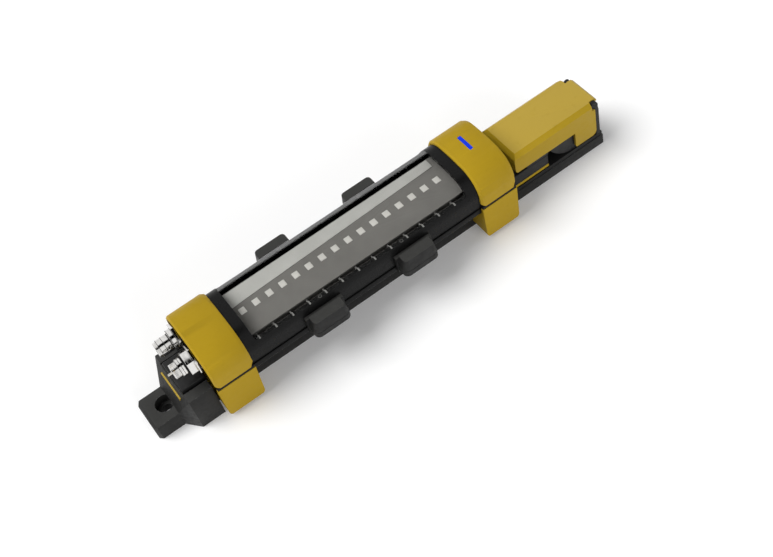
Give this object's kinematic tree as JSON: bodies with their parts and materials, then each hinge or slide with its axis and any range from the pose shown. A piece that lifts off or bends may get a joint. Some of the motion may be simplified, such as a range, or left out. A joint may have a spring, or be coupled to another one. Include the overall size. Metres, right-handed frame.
{
  "type": "laser receiver",
  "caption": "Machine-mounted laser receiver on a rail bracket, with a windowed sensor housing in yellow collars, side bumpers, round connectors and a hinged quick-release lever.",
  "frame": {"origin": "axis of the mounting bore, on the flat back face of the rail", "axes": "+X along the rail towards the quick-release lever, +Y across to the far side, +Z out of the window"},
  "size_m": [0.421, 0.088, 0.0718],
  "materials": {
    "black_anodised": "satin black anodised",
    "black_plate": "matt black coated",
    "yellow_paint": "satin yellow coat",
    "lever_yellow": "satin yellow coat",
    "black_housing": "fine matt moulding",
    "black_block": "fine matt moulding",
    "black_rubber": "matt rubber",
    "seal_rubber": "matt rubber",
    "pane": "clear",
    "sensor_grey": "matt grey",
    "cell_white": "pale cells",
    "diffuser": "pale translucent",
    "clip_white": "pale",
    "board_green": "solder mask",
    "brass": "turned",
    "nickel": "nickel plated",
    "steel": "zinc plated",
    "insert_black": "moulded",
    "gold_pin": "gold plated",
    "blue_lens": "blue lens"
  },
  "bodies": {
    "bracket": {"end_block": "black_anodised", "rail_bar": "black_anodised", "pad_plate": "black_plate", "hinge_plate": "black_plate", "rail_screws": "steel", "front_housing": "black_housing", "back_housing": "black_housing", "housing_gasket": "seal_rubber", "window": "pane", "sensor_deck": "sensor_grey", "detector_cells": "cell_white", "diffuser_strip": "diffuser", "deck_ribs": "clip_white", "detector_board": "board_green", "main_board": "board_green", "board_posts": "brass", "end_cap_left": "black_housing", "end_cap_right": "black_housing", "collar_front_left": "yellow_paint", "collar_front_right": "yellow_paint", "collar_back_left": "yellow_paint", "collar_back_right": "yellow_paint", "collar_gasket_left": "seal_rubber", "collar_gasket_right": "seal_rubber", "collar_screws": "steel", "status_light": "blue_lens", "side_bumpers": "black_rubber", "foot_block": "black_block", "nose_plate": "lever_yellow", "latch_block": "black_block", "latch_plate": "lever_yellow", "connector_left": "nickel", "connector_right": "nickel", "connector_nuts": "nickel", "connector_inserts": "insert_black", "contact_pins": "gold_pin", "connector_rings": "seal_rubber", "hinge_pin": "steel"},
    "lever": {"quick_release_lever": "lever_yellow", "clamp_block": "black_block"}
  },
  "joints": [
    {"name": "lever_hinge", "type": "hinge", "parent": "bracket", "child": "lever", "pos_m": [0.3978, 0, 0.0478], "axis": [0, 1, 0], "range_deg": [0, 110]}
  ]
}
